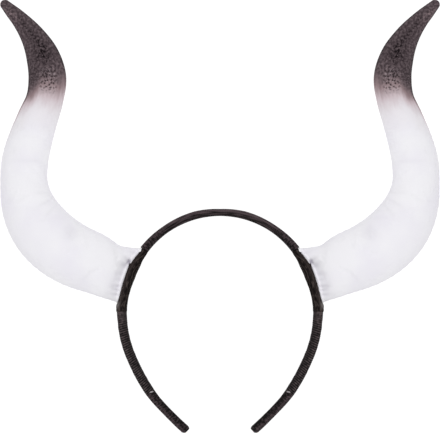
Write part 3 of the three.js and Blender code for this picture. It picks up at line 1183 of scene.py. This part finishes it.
@dataclass(frozen=True)
class StuffedCloth:
    """Cloth that settles on its stuffing: loosely held, blown up, and drawn in along its seams."""

    scale: float = 10.0  # the solver works best on metres
    steps: int = 20
    solver: tuple[tuple[str, object], ...] = (  # its settings, by their own names
        ("quality", 5),
        ("mass", 0.3),
        ("tension_stiffness", 15.0),
        ("compression_stiffness", 15.0),
        ("shear_stiffness", 5.0),
        ("bending_stiffness", 0.2),
        ("use_pressure", True),
        ("uniform_pressure_force", 4.0),
        ("vertex_group_mass", "held"),
        ("pin_stiffness", 1.0),
        ("vertex_group_shrink", "drawn"),
        ("shrink_min", -0.04),  # loose panels
        ("shrink_max", 0.05),  # drawn seams
    )
    hold: float = 0.1
    held_rings: int = 3  # rings at the foot that don't move
    seam: float = 0.3
    uneven: Ripple = Ripple(0.12, 11.0, 5)  # first dents, from which wrinkles grow

    def settle(self, form: Grid, inward: Grid, angle: Grid) -> Grid:
        """Runs the simulation on a form.

        Args:
            form: Points of the form by ring and place on the ring.
            inward: Directions into it.
            angle: Places round it, with the seams at 0 and half a turn.

        Returns:
            How far each point moves inwards.
        """
        start = form + inward * self.uneven.at(form)[..., None]
        piece = make_mesh("horn_settling", start * self.scale, Ends.FILLED, Side.RIGHT, {})
        held = np.full(start.shape[:2], self.hold)
        held[: self.held_rings] = 1.0
        drawn = np.broadcast_to(bell(np.sin(angle), self.seam), held.shape)
        for name, share in (("held", held), ("drawn", drawn)):
            group = piece.vertex_groups.new(name=name)
            for index, weight in enumerate(share.ravel().tolist()):
                group.add([index], weight, "REPLACE")
        cloth = piece.modifiers.new("stuffed_cloth", "CLOTH")
        cloth.collision_settings.use_collision = False
        cloth.settings.effector_weights.gravity = 0.0
        for name, value in self.solver:
            setattr(cloth.settings, name, value)
        scene = bpy.context.scene
        for step in range(1, self.steps + 1):
            scene.frame_set(step)
        mesh = piece.evaluated_get(bpy.context.evaluated_depsgraph_get()).data
        found = np.empty(len(mesh.vertices) * 3, np.float32)
        mesh.vertices.foreach_get("co", found)
        end = found[: start.size].reshape(start.shape).astype(float) / (self.scale * MM)
        scene.frame_set(1)
        bpy.data.meshes.remove(piece.data)
        return ((end - start) * inward).sum(-1)


@dataclass
class StuffedHorn:
    """Horn sewn from two panels, stuffed, and gathered at its foot against the felt."""

    shape: HoopShape
    felt: FeltSleeve
    rows: tuple[HornRow, ...] = (
        HornRow(56.4, 22.0, 19.2, 6.6, 6.0),
        HornRow(69.5, 25.0, 17.7, 11.2, 10.6),
        HornRow(82.2, 30.9, 19.55, 14.6, 13.8),
        HornRow(95.16, 36.57, 20.2, 16.8, 16.0),
        HornRow(106.82, 44.49, 20.2, 17.6, 16.8),
        HornRow(116.2, 54.9, 19.3, 17.1, 16.3),
        HornRow(122.6, 67.5, 17.35, 15.8, 15.1),
        HornRow(125.3, 81.2, 15.3, 14.5, 13.8),
        HornRow(124.8, 95.3, 14.95, 13.8, 13.2),
        HornRow(121.5, 108.9, 14.2, 13.2, 12.7),
        HornRow(116.95, 122.2, 13.05, 12.4, 12.0),
        HornRow(112.15, 135.6, 11.85, 11.6, 11.5),
        HornRow(110.5, 149.4, 12.0, 11.2, 11.3),
        HornRow(113.5, 163.0, 10.6, 9.9, 10.5),
        HornRow(119.8, 175.6, 7.9, 7.6, 9.3),
        HornRow(128.5, 186.8, 5.35, 5.3, 8.1),
        HornRow(134.0, 192.4, 4.2, 4.1, 7.5),
        HornRow(137.6, 196.1, 3.2, 3.1, 7.2),
    )
    pleats: tuple[Pleat, ...] = (
        Pleat(0.40, 0.05, 0.065, 2.1, 3.0),
        Pleat(0.41, 0.30, 0.06, 7.5, 1.0),
        Pleat(0.28, 0.16, 0.05, 8.0, 0.8),
        Pleat(0.80, 0.05, 0.05, 7.0, 0.6),
        Pleat(0.22, 0.10, 0.06, 7.5, 0.8),
        Pleat(-0.02, -0.04, 0.06, 9.0, 0.5),
        Pleat(-0.26, 0.03, 0.05, 6.0, 0.5),
        Pleat(-0.47, -0.05, 0.045, 7.5, 1.2),
        Pleat(-0.61, 0.02, 0.04, 6.0, 1.3),
        Pleat(-0.77, -0.03, 0.04, 6.5, 1.1),
    )
    pleat_end: float = 0.1  # share of its reach from which a pleat runs out
    pleat_mouth: float = 0.75  # share of its depth at the hem, and where it has all of it
    pleat_full: float = 1.0
    pleat_spread: float = 0.9
    creases: tuple[Patch, ...] = (
        Patch(0.55, 1.9, 1.8, 0.10, 0.30),
        Patch(0.45, 44.0, 6.0, 0.62, 0.30),
        Patch(0.30, 69.0, 1.6, 0.72, 0.34, 6.0),
        Patch(0.34, 77.0, 1.5, 0.75, 0.40, 4.0),
        Patch(0.26, 85.0, 1.6, 0.72, 0.36, -3.0),
        Patch(0.22, 108.0, 1.4, 0.20, 0.60, 2.0),
        Patch(0.22, 128.0, 1.8, -0.75, 0.35, -4.0),
    )
    fold_shade: float = 3.8  # depth of a fold at which its painted shade is darkest
    fold_stop: float = 12.0  # folds run out this far before the tip
    foot_upper: float = 54.25  # where the foot's corners lie along the hoop
    foot_lower: float = 89.75
    foot_half_depth: float = 6.3
    foot_rise: float = 0.5
    foot_gap: float = 0.35
    foot_angles: Pair = (20.0, 8.0)  # how the lower and upper seams leave the hoop
    foot_swell: float = 0.9  # how steeply the faces leave it
    foot_inset: float = 5.2  # distance from the first section to the felt
    foot_blend: float = 11.5
    foot_pull: float = 1.3  # how firmly the seams keep those angles
    hem: float = 0.7  # how far the hem stands out, and where it falls back
    hem_fall: Pair = (0.3, 1.3)
    seam_depth: float = 0.35
    seam_width: float = 0.55
    pucker: float = 0.16
    pucker_pitch: float = 4.2
    pucker_drift: Pair = (1.3, 9.0)  # how unevenly puckers follow each other
    pucker_at: float = 2.2  # distance from the seam
    pucker_width: float = 1.2
    white_from: Pair = (70.0, 95.0)  # how far from the tip the bare cloth begins
    rings: int = 290
    sides: int = 192
    cap_steps: int = 10
    core_steps: int = 2000
    crowding: float = 0.35  # spacing of the rings at the foot, to their mean spacing
    tip_print: TipPrint = TipPrint()
    stuffing: StuffedCloth = StuffedCloth()
    wrinkle_rings: int = 110
    wrinkle_sides: int = 64
    wrinkle_soften: int = 30
    wrinkle_most: float = 0.35
    wrinkle_seam: Pair = (0.75, 0.97)  # wrinkles end between these places across
    wrinkle_tip: Pair = (55.0, 100.0)  # and between these distances from the tip
    core: Grid = field(init=False)
    core_at: Grid = field(init=False)

    def __post_init__(self) -> None:
        """Measures the middle line once, closely, so that distances along it are true."""
        table = np.array([astuple(row) for row in self.rows])
        chord = distances(table[:, :2])
        self.core = through(chord, table, np.linspace(0, chord[-1], self.core_steps))
        self.core_at = distances(self.core[:, :2]) - self.foot_inset

    @property
    def length(self) -> float:
        """Distance along the middle from the felt to the start of the round tip."""
        return float(self.core_at[-1])

    @property
    def cap_turns(self) -> Grid:
        """Turns of the round tip's rings."""
        return np.linspace(0, END_TURN, self.cap_steps + 1)[1:]

    def sections(self, along: Grid, angle: Grid) -> Grid:
        """Plain round sections of the horn.

        Args:
            along: Distances from the felt, some below zero.
            angle: Places round each section.

        Returns:
            Points as x, y and z.
        """
        out, up, width, depth, rise = (np.interp(along, self.core_at, column) for column in self.core.T)
        slopes = (np.gradient(column, self.core_at) for column in self.core.T[:2])
        tangent = np.stack([np.interp(along, self.core_at, slope) for slope in slopes], -1)
        tangent /= np.linalg.norm(tangent, axis=1, keepdims=True)
        across = np.cos(angle) * width[:, None]
        x = out[:, None] - tangent[:, 1:] * across
        y = up[:, None] + tangent[:, :1] * across + self.shape.centre_y
        z = rise[:, None] + np.sin(angle) * depth[:, None]
        return np.stack([x, y, z], -1)

    def foot(self, angle: Grid) -> tuple[Grid, Grid]:
        """Edge of the horn against the felt.

        Args:
            angle: Places round the edge.

        Returns:
            Points of the edge, and the directions in which the cloth leaves it.
        """
        share = (1 - np.cos(angle)) / 2
        along = self.foot_upper + (self.foot_lower - self.foot_upper) * share
        point, out = self.shape.course(along)
        flat = point + out * (self.felt.outer_face(along) + self.foot_gap)[:, None]
        z = self.shape.height + self.foot_rise + self.foot_half_depth * np.sin(angle)
        low, high = (math.radians(a) for a in self.foot_angles)
        heading = high + (low - high) * share
        way = np.stack([np.cos(heading), np.sin(heading), self.foot_swell * np.sin(angle)], -1)
        return np.column_stack([flat, z]), way

    def form(self, along: Grid, angle: Grid) -> Grid:
        """Smooth form of the horn before its folds.

        Args:
            along: Distances from the felt.
            angle: Places round the horn.

        Returns:
            Points as x, y and z.
        """
        points = self.sections(along, angle)
        blend = self.foot_blend
        edge, way = self.foot(angle)
        before, joint, after = self.sections(blend + NUDGE * np.array([-1, 0, 1]), angle)
        t = (np.clip(along, 0, blend) / blend)[:, None, None]
        pull = blend * self.foot_pull
        footed = joined(t, edge, way * pull, joint, (after - before) * pull)
        return np.where((along < blend)[:, None, None], footed, points)

    def cap(self, angle: Grid) -> Grid:
        """Round end of the tip.

        Args:
            angle: Places round the horn.

        Returns:
            Rings of points, from the last section outwards.
        """
        turn = self.cap_turns[:, None, None]
        before, last = self.sections(self.length - NUDGE * np.array([1, 0]), angle)
        middle = last.mean(0)
        forward = (middle - before.mean(0)) * (1.0, 1.0, 0.0)
        forward *= self.rows[-1].half_width / np.linalg.norm(forward)
        return middle + (last - middle) * np.cos(turn) + forward * np.sin(turn)

    def folds(self, along: Grid, angle: Grid) -> Grid:
        """Depth of pleats, creases, hem and seams, inwards.

        Args:
            along: Distances from the felt.
            angle: Places round the horn.

        Returns:
            Depth at each place.
        """
        s, across = along[:, None], np.cos(angle)[None]
        face = np.sqrt(np.abs(np.sin(angle)))[None]
        depth = np.zeros((len(along), len(angle)))
        mouth = self.pleat_mouth + (1 - self.pleat_mouth) * smooth(s, 0.0, self.pleat_full)
        for pleat in self.pleats:
            run = np.clip(s / pleat.reach, 0, 1)
            sunk = pleat.depth * (1 - smooth(run, self.pleat_end, 1)) * mouth
            line = pleat.across + pleat.slant * run
            depth += sunk * bell(across - line, pleat.width * (1 + self.pleat_spread * run))
        depth += sum(crease.at(s, across) for crease in self.creases)
        uncut = 1 - bell(across - self.pleats[0].across, 2 * self.pleats[0].width)
        depth -= self.hem * (1 - smooth(s, *self.hem_fall)) * uncut
        depth *= face
        from_seam = np.abs(np.sin(angle))[None] * np.interp(along, self.core_at, self.core[:, 2])[:, None]
        drift, drift_length = self.pucker_drift
        puckered = np.sin(2 * math.pi * s / self.pucker_pitch + drift * np.sin(s / drift_length))
        white = smooth(self.length - s, *self.white_from)
        depth += self.seam_depth * bell(from_seam, self.seam_width) - self.shape.nap * (1 - white)
        depth += self.pucker * puckered * bell(from_seam - self.pucker_at, self.pucker_width) * white
        return depth

    def inward(self, points: Grid) -> Grid:
        """Directions into the horn.

        Args:
            points: Grid of points by ring and place on the ring.

        Returns:
            A direction for each point.
        """
        along = np.gradient(points, axis=0)
        way = np.cross(np.roll(points, -1, 1) - np.roll(points, 1, 1), along)
        way /= np.linalg.norm(way, axis=-1, keepdims=True)
        middle = points.mean(1, keepdims=True)
        return np.where(((points - middle) * way).sum(-1, keepdims=True) > 0, -way, way)

    @cached_property
    def settled(self) -> tuple[Grid, Grid, Grid]:
        """Wrinkles of the cloth once it settles, without the swelling of the whole horn.

        Returns:
            Distances from the felt, places round the horn, and the depths there, inwards.
        """
        along = np.linspace(0, self.length, self.wrinkle_rings)
        angle = np.linspace(0, 2 * math.pi, self.wrinkle_sides, endpoint=False)
        form = self.form(along, angle)
        depth = self.stuffing.settle(form, self.inward(form), angle)
        small = depth - soften(depth, self.wrinkle_soften)
        LOG.info("settling: %.2f mm at most, wrinkles %.2f mm", np.abs(depth).max(), np.abs(small).max())
        small = self.wrinkle_most * np.tanh(small / self.wrinkle_most)
        off_seam = 1 - smooth(np.abs(np.cos(angle)), *self.wrinkle_seam)
        return along, angle, small * off_seam * smooth(self.length - along, *self.wrinkle_tip)[:, None]

    def wrinkles(self, along: Grid, angle: Grid) -> Grid:
        """Wrinkles of the settled cloth at places on the horn.

        Args:
            along: Distances from the felt.
            angle: Places round the horn.

        Returns:
            Depth at each place, inwards.
        """
        rows, columns, depth = self.settled
        lines = np.stack([np.interp(along, rows, line) for line in depth.T], -1)
        return np.stack([np.interp(angle, columns, ring, period=2 * math.pi) for ring in lines])

    def build(self, side: Side) -> Piece:
        """Builds one horn.

        Args:
            side: Side of the headband.

        Returns:
            The new piece.
        """
        share = np.linspace(0, 1, self.rings)
        along = self.length * (self.crowding * share + (1 - self.crowding) * share**2)
        angle = np.linspace(0, 2 * math.pi, self.sides, endpoint=False)
        points = self.form(along, angle)
        inward = self.inward(points)
        at_foot = (1 - smooth(along, 0.0, self.foot_blend))[:, None] * np.abs(np.sin(angle))
        upright = np.stack([0 * angle, 0 * angle, -np.sign(np.sin(angle))], -1)
        inward = inward + (upright - inward) * at_foot[..., None]
        folds = self.folds(along, angle)
        depth = folds * smooth(self.length - along, 0.0, self.fold_stop)[:, None]
        depth = depth + self.wrinkles(along, angle)
        rings = np.concatenate([points + inward * depth[..., None], self.cap(angle)])
        rings[..., 2] = np.maximum(rings[..., 2], 0.0)
        cap = self.rows[-1].half_width
        from_tip = np.concatenate([self.length + cap - along, cap - cap * np.sin(self.cap_turns)])
        layers = self.tip_print.layers(from_tip, angle, rings)
        # painted shade in the folds: the deeper the fold, the darker the cloth
        sunk = np.clip(folds / self.fold_shade, 0.0, 1.0)
        layers["crease"] = np.concatenate([sunk, np.zeros((self.cap_steps, self.sides))])
        piece = make_mesh(f"horn_cloth_{side.tag}", rings, Ends.FILLED, side, layers)
        return piece


@dataclass(frozen=True)
class Studio:
    """Pale floor and soft light, in metres, and the camera straight above the headband."""

    frame_width_px: float = 440.0
    mm_per_px: float = 0.64
    lens: float = 900.0  # the photo shows hardly any perspective
    sensor: float = 36.0
    aim_height: float = 12.0
    floor_size: float = 5.0
    floor_drop: float = 0.0002
    sky: float = 0.58
    lamp_height: float = 1.6
    lamp_size: float = 1.2
    lamp_power: float = 12.2

    def build(self) -> None:
        """Builds floor, lights and camera."""
        scene = bpy.context.scene
        scene.view_settings.view_transform = "Standard"
        self.build_floor()
        world = bpy.data.worlds.new("studio")
        world.use_nodes = True
        tree = world.node_tree
        tree.nodes.clear()
        sky = add(tree, "Background", {"Color": linear(WHITE), "Strength": self.sky})
        add(tree, "OutputWorld", {"Surface": sky})
        scene.world = world
        light = bpy.data.lights.new("overhead_softbox", "AREA")
        light.energy, light.size = self.lamp_power, self.lamp_size
        lamp = bpy.data.objects.new("overhead_softbox", light)
        lamp.location = (0.0, 0.0, self.lamp_height)
        lamp.visible_camera = False
        scene.collection.objects.link(lamp)
        lens = bpy.data.cameras.new("front_camera")
        lens.lens, lens.sensor_width = self.lens, self.sensor
        camera = bpy.data.objects.new("front_camera", lens)
        reach = self.frame_width_px * self.mm_per_px * MM * self.lens / self.sensor
        camera.location = (0.0, 0.0, self.aim_height * MM + reach)
        scene.collection.objects.link(camera)
        scene.camera = camera

    def build_floor(self) -> None:
        """Builds the floor."""
        half = self.floor_size / 2
        signs = (-1, -1), (1, -1), (1, 1), (-1, 1)
        corners = [(x * half, y * half, -self.floor_drop) for x, y in signs]
        mesh = bpy.data.meshes.new("studio_floor")
        mesh.from_pydata(corners, [], [(0, 1, 2, 3)])
        mesh.materials.append(StudioPaper().material())
        floor = bpy.data.objects.new("studio_floor", mesh)
        bpy.context.scene.collection.objects.link(floor)


def main() -> None:
    """Builds the headband's pieces in order, then the studio."""
    logging.basicConfig(level=logging.INFO, format="%(name)s: %(message)s")
    shape = HoopShape()
    felt = FeltSleeve(shape)
    horn = StuffedHorn(shape, felt)
    arm = WoundArm(shape)
    tuck = LaidStrip(
        shape,
        "hem_tuck",
        along=56.0,
        slant=-0.3,
        rows=(
            StripRow(5.6, 1.4, 1.0, 0.4),
            StripRow(5.1, 3.0, 1.25, 0.5),
            StripRow(4.6, 4.5, 1.35, 0.55),
            StripRow(3.9, 5.4, 1.1, 0.45),
            StripRow(3.4, 5.8, 0.5, 0.2),
        ),
    )
    cut_end = LaidStrip(
        shape,
        "cord_end",
        along=148.7,
        slant=0.8,
        rows=(
            StripRow(3.9, 5.3, 0.2, 0.15),
            StripRow(3.3, 5.5, 0.4, 0.3),
            StripRow(2.3, 5.4, 0.45, 0.3),
            StripRow(1.7, 5.0, 0.3, 0.15),
        ),
    )
    finishes = PrintedVelour(), WovenRibbon(), WoundCord(), PressedFelt(), FrayedThread()
    velour, ribbon, cord, wool, frayed = (finish.material() for finish in finishes)
    fit_out(RibbonHoop(shape).build(), ribbon, "hoop")
    for side in Side:
        fit_out(arm.build(side), cord, f"arm_wrap_{side.tag}")
        fit_out(felt.build(side), wool, f"felt_sleeve_{side.tag}")
        fit_out(horn.build(side), velour, f"horn_{side.tag}")
        fit_out(tuck.build(side), velour)
        fit_out(cut_end.build(side), frayed)
    Studio().build()


if __name__ == "__main__":
    main()
